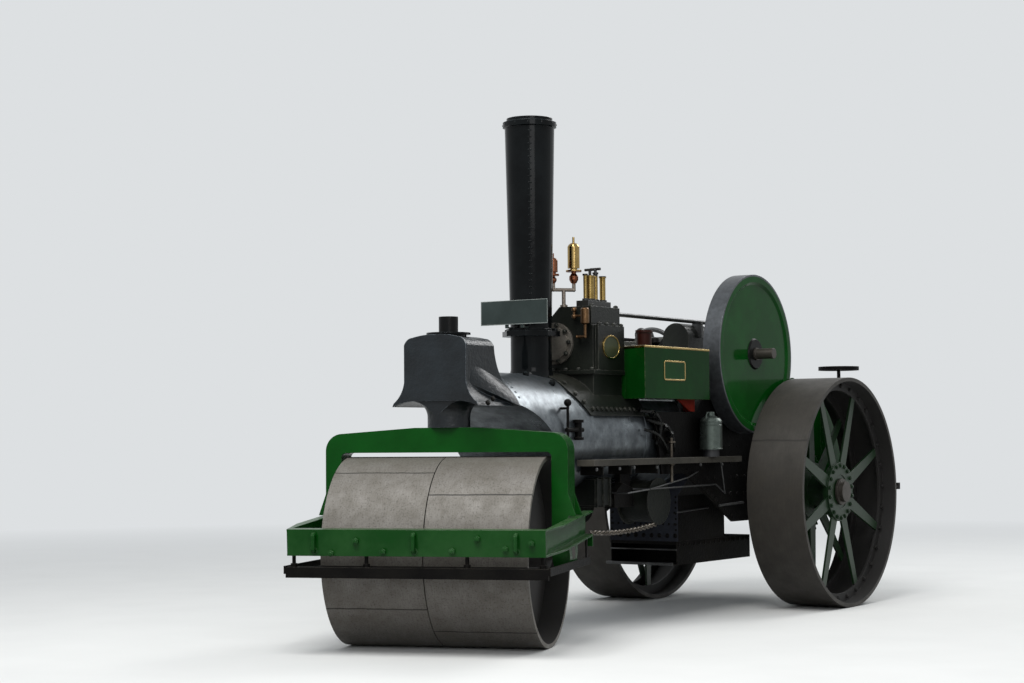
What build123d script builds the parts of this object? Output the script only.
"""Three-roll steam roller: a single-cylinder, chain-steered road roller of the ten-ton class.

Frame: millimetres, +Z up, the ground at Z = 0. The machine drives towards -Y and its left side,
which carries the flywheel, is +X. The front rolls stand turned to the left, as the machine is parked.
Places are first given from the foot of the kingpin, and at the end the whole machine is moved so
that the origin lies under the middle of its box.
"""
import os
from math import atan2, cos, pi, radians, sin, sqrt, tan

from build123d import *

# Running gear
WHEELBASE = 3633
FRONT_ROLL_DIA = 1143
FRONT_HALF_WIDTH = 620
FRONT_HALF_GAP = 6
FRONT_TREAD_PLATE = 26
FRONT_DISC_INSET = 150
FRONT_HUB_R = 95
REAR_ROLL_DIA = 1676
REAR_ROLL_WIDTH = 432
REAR_TREAD_PLATE = 28
STEER_ANGLE = 19.7

# Axles and running fits
FRONT_AXLE_R = 45
REAR_AXLE_R = 75
RUNNING_FIT = 0.5
SEAT = 0.3
SHEET = 6

# Boiler, along the machine from the kingpin, and down from its axis
BOILER_Z = 1265
SMOKEBOX_R = 400
SMOKEBOX_FRONT = 250
SMOKEBOX_LENGTH = 810
BARREL_R = 380
BARREL_LENGTH = 1290
FIREBOX_HALF = 404
FIREBOX_LENGTH = 700
FIREBOX_SIDE = 245
FIREBOX_TAPER = 180
FIREBOX_LEG_HALF = 275
FIREBOX_DEPTH = 745
ASHPAN_DEPTH = 165
ASHPAN_TAIL = 420
ASHPAN_LIP = 60

# Fire hole and its door
FIRE_HOLE_DROP = 85
FIRE_DOOR_W = 380
FIRE_DOOR_H = 300
FIRE_DOOR_T = 14
HINGE_PIN_R = 8

# Arch under the smokebox, which lets the fork and the roll swing
ARCH_Y = 100
ARCH_DROP = 415
ARCH_R = 620

# Head that holds the kingpin, seen from the front
HEAD_OVERHANG = 130
HEAD_FOOT_Z = 1445
HEAD_HEIGHT = 429
HEAD_FOOT_HALF = 315
HEAD_WAIST_HALF = 224
HEAD_FLARE = 150
HEAD_LIP = 22
HEAD_ARCH = 33
HEAD_CORNER = 62
HEAD_CROWN_FALL = 16
HEAD_DEPTH = 290
HEAD_SWEEP_R = 350
HEAD_PLATE = 16
NECK_R = 130
NECK_FILLET = 95
KINGPIN_R = 80
KINGPIN_BOSS_R = 59
KINGPIN_BOSS = 98
CAP_R = 135
CAP_T = 12
CAP_LIFT = 8

# Fork over the front rolls
FORK_TOP = 1318
FORK_CORNER_DROP = 33
FORK_BEAM = 150
FORK_HALF_DEPTH = 95
FORK_OUT = 757
FORK_LEG = 100
FORK_CORNER_R = 105
FORK_INNER_R = 28
FORK_FOOT_R = 95
GUSSET_H = 130
GUSSET_W = 46

# Channel frame round the front rolls, rising to the rear
FRAME_TOP = 735
FRAME_DEPTH = 153
FRAME_REACH = 734
FRAME_TAIL = 345
FRAME_PITCH = 3.7
FRAME_FLANGE = 60
FRAME_NOSE = 12
FRAME_NOSE_LENGTH = 300
FRAME_PLATE = 11
STAPLE_R = 46
STAPLE_BAR_R = 8
STAPLE_PITCH = 600

# Scraper under the channel frame
SCRAPER_DROP = 65
SCRAPER_PLATE = 12
SCRAPER_BLADE = 62
SCRAPER_CLEAR = 6
SCRAPER_OUT = 24

# Chimney
CHIMNEY_SET = 670
CHIMNEY_BASE_R = 134
CHIMNEY_SKIRT_R = 115
CHIMNEY_BASE_H = 240
CHIMNEY_FLANGE_R = 190
CHIMNEY_FLANGE_T = 34
CHIMNEY_COLLAR = 16
CHIMNEY_TOP_R = 162
CHIMNEY_HEIGHT = 1323
CHIMNEY_WALL = 10
CHIMNEY_RING_R = 175
CHIMNEY_RING_H = 44
CHIMNEY_LIP_R = 150
CHIMNEY_LIP_H = 20

# Blank number plate in front of the chimney
NUMBER_W = 512
NUMBER_H = 156
NUMBER_T = 4
NUMBER_LIFT = 38

# Cylinder block and its saddle
BLOCK_SET = 108
BLOCK_LENGTH = 362
BLOCK_RIGHT = 180
BLOCK_LEFT = 318
BLOCK_STEP_H = 295
BLOCK_CAP_H = 123
BLOCK_SHOULDER = 241
BLOCK_LEDGE = 12
CHEST_T = 22
CHEST_INSET = 30
BED_H = 45
FOOT_FLANGE = 26
SADDLE_T = 12
SADDLE_EDGE_UP = 127
SADDLE_AHEAD = 148
SADDLE_SLOPE_Y = 126
SADDLE_SLOPE_Z = 156
SADDLE_TAIL = 185
COVER_R = 110
COVER_RING_R = 138
COVER_X = 30
COVER_UP = 25

# Crankshaft and flywheel
CRANK_AHEAD = 35
CRANK_UP = 578
CRANK_R = 45
CRANK_STUB_R = 38
CRANK_STUB = 140
FLYWHEEL_DIA = 1146
FLYWHEEL_WIDTH = 130
FLYWHEEL_GAP = 22
FLYWHEEL_RIM = 55
FLYWHEEL_WEB = 24
FLYWHEEL_DISH = 14
FLYWHEEL_HUB_R = 112
GUARD_HALF = 105
GUARD_AHEAD = 165
GUARD_BEHIND = 185
GUARD_UP = 238
SECOND_SHAFT_BACK = 395
SECOND_SHAFT_DROP = 235

# Motion
GUIDE_LENGTH = 850
GUIDE_HALF = 62
ROD_R = 24
CROSSHEAD_AT = 530
VALVE_ROD_X = -150
ECCENTRIC_R = 75

# Motion tray
TRAY_OUT = 550
TRAY_IN = 300
TRAY_AHEAD = 95
TRAY_LENGTH = 895
TRAY_OVER_CRANK = 3
TRAY_DEPTH = 341

# Hornplates, from the boiler's axis and the firebox's front
HORN_T = 16
HORN_NOSE = 590
HORN_SIDE_DROP = 265
HORN_UP = 142
HORN_BEHIND = 167
HORN_BOTTOM_UNDER_AXLE = 198

# Running boards
BOARD_DROP = 155
BOARD_T = 40
BOARD_OUT = 512
BOARD_IN = 385
BOARD_AHEAD = 210
BOARD_BEHIND = 530

# Chain drums under the barrel
DRUM_Y = 1835
DRUM_DROP = 445
DRUM_R = 140
DRUM_FLANGE_R = 158
DRUM_FLANGE_T = 8
DRUM_IN = 190
DRUM_OUT = 412
DRUM_SHAFT_R = 28
WORM_BOX = 44
CHAIN_R = 12
CHAIN_SAG = 22

# Boxes and rods under the boards
BOX_X = 232
BOX_W = 100
BOX_L = 200
BOX_H = 170
BOX_UP = 95
PUMP_L = 84
PULL_ROD_R = 6

# Steering column on the right
COLUMN_X = -560
COLUMN_R = 16
HANDWHEEL_R = 190
HANDWHEEL_AHEAD = 73
HANDWHEEL_UP = 950

# Footplate and tender
FLOOR_UP = 142
FLOOR_T = 20
TENDER_HALF = 560
TENDER_GAP = 315
TENDER_LENGTH = 585
TENDER_H = 960
TENDER_UNDER_FLOOR = 340
TANK_LID_UP = 140
TENDER_WALL = 10
SIDE_SHEET = 8
SHEET_DOME_R = 95

# Brake column on the tender
BRAKE_X = 445
BRAKE_COLUMN_R = 14
BRAKE_WHEEL_UP = 183
BRAKE_WHEEL_R = 160

# Drawbar
DRAWBAR_L = 130
DRAWBAR_H = 110
DRAWBAR_SLOT = 44
DRAWBAR_PIN_R = 18

# Final drive ring beside the left rear roll
RING_GAP = 72
RING_FACE = 90
RING_ROLL_GAP = 8
RING_R = 440
RING_RIM = 60
RING_TEETH = 60
TOOTH_H = 24

# Rear roll's hub and spokes
HUB_R = 125
HUB_FLANGE_R = 215
HUB_INSET = 95
SPOKE_ROW = 105
SPOKES = 8
SPOKE_ROOT = 48
SPOKE_TIP = 28
SPOKE_T = 16
RIM_RING = 65
AXLE_END_INSET = 40

# Oil can on its stand
CAN_X = 502
CAN_Y = 2430
CAN_R = 80
CAN_H = 200
CAN_STAND = 50

# Places that follow from the sizes
REAR_R = REAR_ROLL_DIA / 2
FRONT_R = FRONT_ROLL_DIA / 2
HORN_OUT = FIREBOX_HALF + HORN_T
FLYWHEEL_IN = HORN_OUT + FLYWHEEL_GAP
FLYWHEEL_OUT = FLYWHEEL_IN + FLYWHEEL_WIDTH
REAR_INNER = HORN_OUT + RING_GAP + RING_FACE + RING_ROLL_GAP
REAR_OUTER = REAR_INNER + REAR_ROLL_WIDTH
SMOKEBOX_BACK = SMOKEBOX_FRONT + SMOKEBOX_LENGTH
FIREBOX_FRONT = SMOKEBOX_BACK + BARREL_LENGTH
FIREBOX_BACK = FIREBOX_FRONT + FIREBOX_LENGTH
FIREBOX_BOTTOM = BOILER_Z - FIREBOX_DEPTH
FIRE_HOLE_Z = BOILER_Z - FIRE_HOLE_DROP
HEAD_FRONT = -HEAD_OVERHANG
HEAD_TOP = HEAD_FOOT_Z + HEAD_HEIGHT
HEAD_BACK = HEAD_FRONT + HEAD_DEPTH
CAP_TOP = HEAD_TOP + CAP_LIFT + CAP_T
FRAME_FRONT = -FRAME_REACH
FRAME_BOTTOM = FRAME_TOP - FRAME_DEPTH
CHIMNEY_Y = SMOKEBOX_FRONT + CHIMNEY_SET
CHIMNEY_FLANGE_Z = BOILER_Z + SMOKEBOX_R + CHIMNEY_BASE_H
CHIMNEY_FOOT = CHIMNEY_FLANGE_Z + CHIMNEY_FLANGE_T
CHIMNEY_TOP = CHIMNEY_FOOT + CHIMNEY_HEIGHT
CHIMNEY_BORE = CHIMNEY_BASE_R - CHIMNEY_WALL
BLOCK_FRONT = SMOKEBOX_BACK + BLOCK_SET
BLOCK_BACK = BLOCK_FRONT + BLOCK_LENGTH
BLOCK_FOOT = BOILER_Z + BARREL_R + BED_H
BLOCK_STEP = BLOCK_FOOT + BLOCK_STEP_H
BLOCK_TOP = BLOCK_STEP + BLOCK_CAP_H
CRANK_Y = FIREBOX_BACK - CRANK_AHEAD
CRANK_Z = BOILER_Z + CRANK_UP
SADDLE_BACK = BLOCK_BACK + SADDLE_TAIL
GUIDE_BACK = BLOCK_BACK + GUIDE_LENGTH
TRAY_FRONT = BLOCK_BACK - TRAY_AHEAD
TRAY_BACK = TRAY_FRONT + TRAY_LENGTH
TRAY_TOP = CRANK_Z + TRAY_OVER_CRANK
TRAY_BOTTOM = TRAY_TOP - TRAY_DEPTH
HORN_TOP = CRANK_Z + HORN_UP
HORN_BACK = WHEELBASE + HORN_BEHIND
BOARD_TOP = BOILER_Z - BOARD_DROP
BOARD_FRONT = SMOKEBOX_BACK - BOARD_AHEAD
BOARD_BACK = FIREBOX_FRONT + BOARD_BEHIND
DRUM_Z = BOILER_Z - DRUM_DROP
SHAFT_END = -COLUMN_X + 22
FLOOR_TOP = REAR_R + FLOOR_UP
TENDER_FRONT = HORN_BACK + TENDER_GAP
TENDER_BACK = TENDER_FRONT + TENDER_LENGTH
TENDER_BOTTOM = FLOOR_TOP - TENDER_UNDER_FLOOR
TENDER_TOP = TENDER_BOTTOM + TENDER_H
TANK_LID = FLOOR_TOP + TANK_LID_UP
BRAKE_WHEEL_Z = TENDER_TOP + BRAKE_WHEEL_UP


# Plain solids by their limits


def block(x0, x1, y0, y1, z0, z1):
    """A box between two corners."""
    size = Box(x1 - x0, y1 - y0, z1 - z0)
    return Pos((x0 + x1) / 2, (y0 + y1) / 2, (z0 + z1) / 2) * size


def bar_x(x0, x1, y, z, r):
    """A round bar across the machine."""
    return Pos((x0 + x1) / 2, y, z) * Rot(0, 90, 0) * Cylinder(r, x1 - x0)


def bar_y(y0, y1, x, z, r):
    """A round bar along the machine."""
    return Pos(x, (y0 + y1) / 2, z) * Rot(90, 0, 0) * Cylinder(r, y1 - y0)


def bar_z(z0, z1, x, y, r):
    """An upright round bar."""
    return Pos(x, y, (z0 + z1) / 2) * Cylinder(r, z1 - z0)


def bar(a, b, r):
    """A round bar between two points."""
    line = Vector(*b) - Vector(*a)
    middle = (Vector(*a) + Vector(*b)) * 0.5
    return Plane(origin=middle, z_dir=line) * Cylinder(r, line.length)


def plate_x(points, x0, x1):
    """A side-view outline of (y, z) points, thick from x0 to x1."""
    face = make_face(Polyline(*[(y, z) for y, z in points], close=True))
    plane = Plane(origin=(x0, 0, 0), x_dir=(0, 1, 0), z_dir=(1, 0, 0))
    return extrude(plane * face, x1 - x0)


def plate_y(points, y0, y1):
    """A front-view outline of (x, z) points, thick from y0 to y1."""
    face = make_face(Polyline(*points, close=True))
    plane = Plane(origin=(0, y1, 0), x_dir=(1, 0, 0), z_dir=(0, -1, 0))
    return extrude(plane * face, y1 - y0)


def ring_x(x0, x1, y, z, outer, inner):
    """A tube across the machine."""
    return bar_x(x0, x1, y, z, outer) - bar_x(x0 - 1, x1 + 1, y, z, inner)


def turned_x(profile, y, z):
    """A turned piece across the machine, from (x, radius) points."""
    face = Plane.XZ * make_face(Polyline(*profile, close=True))
    return Pos(0, y, z) * revolve(face, Axis.X)


def turned_z(profile, x, y):
    """An upright turned piece, from (radius, z) points."""
    face = Plane.XZ * make_face(Polyline(*profile, close=True))
    return Pos(x, y, 0) * revolve(face, Axis.Z)


def flare(r, fillet, z, stem, x, y):
    """A turned stem that spreads at z by a quarter-round hollow, upwards or (negative) downwards."""
    wide = r + abs(fillet)
    share = 1 - cos(pi / 4)
    hollow = ThreePointArc((r, z), (r + abs(fillet) * share, z + fillet * sin(pi / 4)), (wide, z + fillet))
    rest = Polyline((wide, z + fillet), (0, z + fillet), (0, z + stem), (r, z + stem), (r, z))
    return Pos(x, y, 0) * revolve(Plane.XZ * make_face([*hollow.edges(), *rest.edges()]), Axis.Z)


def both_sides(x0, x1):
    """The same stretch of x on the left and on the right."""
    return ((x0, x1), (-x1, -x0))


# Boiler, smokebox and head


def smokebox():
    """The drum behind the head, arched underneath so that the fork can swing."""
    drum = bar_y(SMOKEBOX_FRONT, SMOKEBOX_BACK, 0, BOILER_Z, SMOKEBOX_R)
    return drum - bar_x(-SMOKEBOX_R, SMOKEBOX_R, ARCH_Y, BOILER_Z - ARCH_DROP, ARCH_R)


def head_outline(grow):
    """The bell outline of the head seen from the front, as an XZ face."""
    half = HEAD_WAIST_HALF + grow
    foot = HEAD_FOOT_HALF + grow
    z = HEAD_FOOT_Z
    top = HEAD_TOP + grow
    side = top - HEAD_CORNER
    crest = top - HEAD_CROWN_FALL
    bend = HEAD_CORNER * 0.3
    with BuildSketch(Plane.XZ) as sketch:
        with BuildLine():
            Line((0, z + HEAD_ARCH), (half - HEAD_CORNER, z + HEAD_ARCH))
            ThreePointArc((half - HEAD_CORNER, z + HEAD_ARCH), (half + 20, z + HEAD_ARCH * 0.7), (foot, z))
            Line((foot, z), (foot - HEAD_LIP / 2, z + HEAD_LIP))
            ThreePointArc((foot - HEAD_LIP / 2, z + HEAD_LIP), (half + 28, z + HEAD_FLARE * 0.5),
                          (half, z + HEAD_FLARE))
            Line((half, z + HEAD_FLARE), (half, side))
            ThreePointArc((half, side), (half - bend, crest - bend), (half - HEAD_CORNER, crest))
            ThreePointArc((half - HEAD_CORNER, crest), (half / 2, top - HEAD_CROWN_FALL * 0.4), (0, top))
            mirror(about=Plane.YZ)
        make_face()
    return sketch.sketch


def shoulder():
    """The head's flare from the foot of the bell to the round of the smokebox."""
    base = HEAD_FOOT_Z
    rise = base - BOILER_Z
    start = atan2(rise, sqrt(SMOKEBOX_R ** 2 - rise ** 2))

    def on_drum(share):
        """A point of the smokebox's circle, from the foot line (0) up to its top (1)."""
        angle = start + (pi / 2 - start) * share
        return (SMOKEBOX_R * cos(angle), BOILER_Z + SMOKEBOX_R * sin(angle))

    inset = HEAD_PLATE / 2
    half = HEAD_WAIST_HALF - inset
    crest = HEAD_TOP - HEAD_CROWN_FALL - inset
    low = base + HEAD_ARCH + inset
    bell_line = ((half + HEAD_CORNER, low), (half + inset, low + HEAD_FLARE / 3), (half, base + HEAD_FLARE),
                 (half, base + HEAD_HEIGHT / 2), (half, crest - HEAD_CORNER), (half / 2, crest),
                 (0, HEAD_TOP - inset))
    sections = ((HEAD_FRONT + inset, bell_line), (SMOKEBOX_FRONT, tuple(on_drum(n / 6) for n in range(7))))
    faces = []
    for y, p in sections:
        with BuildSketch(Plane.XZ) as sketch:
            with BuildLine():
                Line((0, p[0][1]), p[0])
                for n in (0, 2, 4):
                    if p[n][0] == p[n + 2][0]:
                        Line(p[n], p[n + 2])
                    else:
                        ThreePointArc(p[n], p[n + 1], p[n + 2])
                mirror(about=Plane.YZ)
            make_face()
        faces.append(Pos(0, y, 0) * sketch.sketch)
    return loft(faces, ruled=True)


def bell():
    """The head's bell: its tower over the kingpin and its shoulder back to the smokebox."""
    tower = extrude(head_outline(0), SMOKEBOX_FRONT - HEAD_FRONT)
    tower = Pos(0, HEAD_FRONT - tower.bounding_box().min.Y, 0) * tower
    back = bar_x(-500, 500, HEAD_BACK + HEAD_SWEEP_R, HEAD_TOP - HEAD_CORNER / 2, HEAD_SWEEP_R)
    above = block(-500, 500, HEAD_BACK, SMOKEBOX_FRONT + 1, HEAD_TOP - HEAD_CORNER / 2, HEAD_TOP + 100)
    return tower - back - above + shoulder()


def head_casting():
    """The head: the bell with the kingpin's neck below it."""
    corner = HEAD_FOOT_Z + HEAD_ARCH - NECK_FILLET
    neck = flare(NECK_R, NECK_FILLET, corner, FORK_TOP + SEAT - corner, 0, 0)
    neck &= block(-400, 400, HEAD_FRONT, SMOKEBOX_FRONT, FORK_TOP, HEAD_TOP)
    shape = bell() + neck
    return shape - bar_z(FORK_TOP - 10, HEAD_TOP + 50, 0, 0, KINGPIN_R + RUNNING_FIT)


def head_plate():
    """The bell-shaped front plate of the head."""
    plate = extrude(head_outline(6), HEAD_PLATE)
    return Pos(0, HEAD_FRONT - plate.bounding_box().max.Y, 0) * plate


def head_cap():
    """The washer on the crown of the head, under the kingpin's end."""
    bore = KINGPIN_R + RUNNING_FIT
    washer = turned_z([(bore, HEAD_TOP - 30), (KINGPIN_R + 30, HEAD_TOP - 30),
                       (KINGPIN_R + 30, CAP_TOP - CAP_T),
                       (CAP_R, CAP_TOP - CAP_T), (CAP_R, CAP_TOP), (bore, CAP_TOP)], 0, 0)
    return washer - bell()


def boiler_barrel():
    """The barrel between the smokebox and the firebox."""
    return bar_y(SMOKEBOX_BACK, FIREBOX_FRONT, 0, BOILER_Z, BARREL_R)


def firebox():
    """The firebox's outer shell: round crown, straight sides and narrower legs, with its fire hole."""
    crown = bar_y(FIREBOX_FRONT, FIREBOX_BACK, 0, BOILER_Z, FIREBOX_HALF)
    side = BOILER_Z - FIREBOX_SIDE
    outline = [(-FIREBOX_HALF, BOILER_Z), (FIREBOX_HALF, BOILER_Z), (FIREBOX_HALF, side),
               (FIREBOX_LEG_HALF, side - FIREBOX_TAPER), (FIREBOX_LEG_HALF, FIREBOX_BOTTOM),
               (-FIREBOX_LEG_HALF, FIREBOX_BOTTOM), (-FIREBOX_LEG_HALF, side - FIREBOX_TAPER),
               (-FIREBOX_HALF, side)]
    legs = plate_y(outline, FIREBOX_FRONT, FIREBOX_BACK)
    hole = Pos(0, FIREBOX_BACK, FIRE_HOLE_Z) * Box(FIRE_DOOR_W - 60, 240, FIRE_DOOR_H - 60)
    return crown + legs - hole


def ashpan():
    """The ashpan under the firebox, open in front, with its lip and its long tail."""
    half = FIREBOX_LEG_HALF - 8
    bottom = FIREBOX_BOTTOM - ASHPAN_DEPTH
    back = FIREBOX_BACK + ASHPAN_TAIL
    shape = block(-half, half, FIREBOX_FRONT, back, bottom, FIREBOX_BOTTOM)
    shape -= block(-half + SHEET, half - SHEET, FIREBOX_FRONT - 1, FIREBOX_FRONT + 240,
                   bottom + SHEET, FIREBOX_BOTTOM - 22)
    return shape + block(-half, half, FIREBOX_FRONT - ASHPAN_LIP, FIREBOX_FRONT, bottom, bottom + SHEET)


def fire_door():
    """The fire door with its two hinge straps, shut."""
    y0 = FIREBOX_BACK + SHEET
    hinge_x = -FIRE_DOOR_W / 2 - 30
    hinge_y = FIREBOX_BACK + 28
    plate = block(-FIRE_DOOR_W / 2, FIRE_DOOR_W / 2, y0, y0 + FIRE_DOOR_T,
                  FIRE_HOLE_Z - FIRE_DOOR_H / 2, FIRE_HOLE_Z + FIRE_DOOR_H / 2)
    for dz in (-90, 90):
        z = FIRE_HOLE_Z + dz
        plate += block(hinge_x + 4, 120, y0 + FIRE_DOOR_T, y0 + FIRE_DOOR_T + 8, z - 22, z + 22)
        plate += bar_z(z - 22, z + 22, hinge_x, hinge_y, HINGE_PIN_R + 6)
    return plate - bar_z(FIRE_HOLE_Z - 200, FIRE_HOLE_Z + 200, hinge_x, hinge_y, HINGE_PIN_R + RUNNING_FIT)


def fire_door_hinge():
    """The hinge pin and its two lugs on the firebox."""
    x = -FIRE_DOOR_W / 2 - 30
    y = FIREBOX_BACK + 28
    pin = bar_z(FIRE_HOLE_Z - 150, FIRE_HOLE_Z + 150, x, y, HINGE_PIN_R)
    for z in (FIRE_HOLE_Z - 145, FIRE_HOLE_Z + 145):
        pin += block(x - 14, x + 14, FIREBOX_BACK, y + 14, z - 12, z + 12)
    return pin


def side_valve():
    """The blower's valve on the smokebox's left side: knob, rod and body."""
    y = CHIMNEY_Y - 225
    x = SMOKEBOX_R + 16
    shape = bar_z(BOILER_Z - 40, BOILER_Z + 200, x, y, 9)
    shape += Pos(x, y, BOILER_Z + 205) * Sphere(24)
    body_y = y + 125
    shape += bar_z(BOILER_Z - 30, BOILER_Z + 100, x, body_y, 22)
    shape += bar_y(y - 12, body_y + 50, x, BOILER_Z + 35, 14)
    for z in (BOILER_Z - 20, BOILER_Z + 90):
        shape += bar_z(z - 9, z + 9, x, body_y, 34)
    shape += bar_x(0, x, body_y, BOILER_Z + 35, 17)
    shape += bar_x(0, x, y, BOILER_Z + 170, 8)
    return shape - bar_y(0, SMOKEBOX_BACK, 0, BOILER_Z, SMOKEBOX_R)


# Chimney


def chimney_skirt(room):
    """The chimney's stem and its flared foot, grown by some room."""
    top = BOILER_Z + SMOKEBOX_R + 40
    return flare(CHIMNEY_BASE_R + room, -CHIMNEY_SKIRT_R, top, CHIMNEY_FLANGE_Z - top, 0, CHIMNEY_Y)


def chimney_base():
    """The chimney's foot on the smokebox, up to its eight-sided flange."""
    octagon = Rot(0, 0, 22.5) * RegularPolygon(CHIMNEY_FLANGE_R, 8)
    flange = extrude(Pos(0, CHIMNEY_Y, CHIMNEY_FLANGE_Z) * octagon, CHIMNEY_FLANGE_T)
    shape = chimney_skirt(0) & bar_z(BOILER_Z, CHIMNEY_FLANGE_Z, 0, CHIMNEY_Y, CHIMNEY_FLANGE_R)
    shape += flange
    shape -= bar_y(SMOKEBOX_FRONT, SMOKEBOX_BACK, 0, BOILER_Z, SMOKEBOX_R + SEAT)
    shape -= block(-400, 400, SMOKEBOX_BACK - SHEET, BLOCK_FRONT, BOILER_Z, CHIMNEY_FLANGE_Z - 60)
    return shape - bar_z(BOILER_Z, CHIMNEY_TOP, 0, CHIMNEY_Y, CHIMNEY_BORE)


def chimney():
    """The tapered chimney, open from end to end, with its foot ring, top ring and lip."""
    ring = CHIMNEY_TOP + CHIMNEY_RING_H
    lip = ring + CHIMNEY_LIP_H
    taper = (CHIMNEY_TOP_R - CHIMNEY_BASE_R) / CHIMNEY_HEIGHT * CHIMNEY_COLLAR
    profile = [(CHIMNEY_BORE, CHIMNEY_FOOT), (CHIMNEY_FLANGE_R - 30, CHIMNEY_FOOT),
               (CHIMNEY_FLANGE_R - 30, CHIMNEY_FOOT + CHIMNEY_COLLAR),
               (CHIMNEY_BASE_R + taper, CHIMNEY_FOOT + CHIMNEY_COLLAR),
               (CHIMNEY_TOP_R, CHIMNEY_TOP), (CHIMNEY_RING_R, CHIMNEY_TOP + 6), (CHIMNEY_RING_R, ring - 6),
               (CHIMNEY_LIP_R, ring), (CHIMNEY_LIP_R, lip), (CHIMNEY_BORE, lip)]
    return turned_z(profile, 0, CHIMNEY_Y)


def number_plate():
    """The blank plate in front of the chimney, on its two brackets."""
    y = CHIMNEY_Y - CHIMNEY_FLANGE_R - 5
    z0 = CHIMNEY_FOOT + NUMBER_LIFT
    foot = CHIMNEY_FOOT + CHIMNEY_COLLAR
    plate = block(-NUMBER_W / 2, NUMBER_W / 2, y - NUMBER_T, y, z0, z0 + NUMBER_H)
    for x in (-60, 60):
        plate += block(x - 12, x + 12, y, y + 56, foot, foot + 8)
        plate += block(x - 12, x + 12, y, y + 8, foot, z0 + NUMBER_H / 2)
    return plate


# Cylinder block and what stands on it


def saddle():
    """The saddle that carries the cylinder block, with its sloping front corner."""
    front = BLOCK_FRONT - SADDLE_AHEAD
    edge = BOILER_Z + SADDLE_EDGE_UP
    top = BOILER_Z + SMOKEBOX_R + SADDLE_T
    outline = [(front, edge), (SADDLE_BACK, edge), (SADDLE_BACK, top), (front - SADDLE_SLOPE_Y, top),
               (front - SADDLE_SLOPE_Y, edge + SADDLE_SLOPE_Z)]
    shell = bar_y(front - SADDLE_SLOPE_Y, SADDLE_BACK, 0, BOILER_Z, SMOKEBOX_R + SADDLE_T)
    shell &= plate_x(outline, -SMOKEBOX_R - SADDLE_T, SMOKEBOX_R + SADDLE_T)
    shell -= chimney_skirt(SEAT)
    rim = BLOCK_FOOT - FOOT_FLANGE
    right = BLOCK_RIGHT + FOOT_FLANGE
    left = BLOCK_LEFT + FOOT_FLANGE
    pillar = block(-BLOCK_RIGHT, BLOCK_LEFT, BLOCK_FRONT, BLOCK_BACK, BOILER_Z, BLOCK_FOOT)
    pillar += block(-right, left, BLOCK_FRONT - FOOT_FLANGE, BLOCK_BACK, rim, BLOCK_FOOT)
    bed = block(-170, 170, BLOCK_BACK, SADDLE_BACK, BOILER_Z, BLOCK_FOOT)
    whole = shell + pillar + bed
    whole -= bar_y(SMOKEBOX_FRONT, SMOKEBOX_BACK, 0, BOILER_Z, SMOKEBOX_R + SEAT)
    return whole - bar_y(SMOKEBOX_BACK, SADDLE_BACK + 10, 0, BOILER_Z, BARREL_R + SEAT)


def cylinder_block():
    """Cylinder and steam chest in one casting, its right shoulder cut off over the cylinder."""
    left = BLOCK_LEFT - BLOCK_LEDGE
    outline = [(-BLOCK_RIGHT, BLOCK_FOOT), (BLOCK_LEFT, BLOCK_FOOT), (BLOCK_LEFT, BLOCK_STEP),
               (left, BLOCK_STEP), (left, BLOCK_TOP), (-BLOCK_RIGHT + BLOCK_SHOULDER, BLOCK_TOP),
               (-BLOCK_RIGHT, BLOCK_TOP - BLOCK_SHOULDER)]
    chest = block(BLOCK_LEFT, BLOCK_LEFT + CHEST_T, BLOCK_FRONT + CHEST_INSET, BLOCK_BACK, BLOCK_FOOT,
                  BLOCK_STEP)
    return plate_y(outline, BLOCK_FRONT, BLOCK_BACK) + chest


def cylinder_cover():
    """The round front cover of the cylinder, on its black ring."""
    z = CRANK_Z + COVER_UP
    cover = bar_y(BLOCK_FRONT - 20, BLOCK_FRONT, COVER_X, z, COVER_RING_R)
    return cover + bar_y(BLOCK_FRONT - 34, BLOCK_FRONT - 20, COVER_X, z, COVER_R)


def safety_valves():
    """Four spring columns on one base, two of them with crossbars on top."""
    x = 200
    base = 42
    shape = block(x - 45, x + 45, BLOCK_BACK - 300, BLOCK_BACK - 10, BLOCK_TOP, BLOCK_TOP + base)
    # Place behind the block's front, radius, height over the block, height of the crossbar over that
    columns = ((102, 13, 208, 0), (162, 30, 200, 58), (232, 15, 225, 42), (322, 20, 205, 0))
    for place, r, height, bar_up in columns:
        y = BLOCK_FRONT + place
        shape += bar_z(BLOCK_TOP, BLOCK_TOP + base + 14, x, y, r + 8)
        shape += bar_z(BLOCK_TOP + base, BLOCK_TOP + height, x, y, r)
        shape += bar_z(BLOCK_TOP + height, BLOCK_TOP + height + 12, x, y, r + 5)
        if bar_up:
            top = BLOCK_TOP + height + bar_up
            shape += bar_z(BLOCK_TOP + height, top, x, y, 10)
            shape += bar_x(x - 38, x + 38, y, top - 8, 9)
    return shape


def whistle(x, y, z, r, tall):
    """A bell whistle: bulb, flange, bell with a domed top and knob, standing at a height z."""
    foot = tall * 0.28
    profile = [(0, z), (r * 0.45, z), (r * 0.75, z + foot * 0.3), (r * 0.75, z + foot * 0.6),
               (r * 0.4, z + foot * 0.85), (r * 0.4, z + foot), (r * 1.3, z + foot), (r * 1.3, z + foot + 12),
               (r * 0.6, z + foot + 12), (r * 0.6, z + foot + 24), (r, z + foot + 24),
               (r, z + tall - r * 0.6),
               (r * 0.8, z + tall - r * 0.25), (r * 0.45, z + tall), (r * 0.2, z + tall),
               (r * 0.2, z + tall + r), (0, z + tall + r)]
    return turned_z(profile, x, y)


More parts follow.
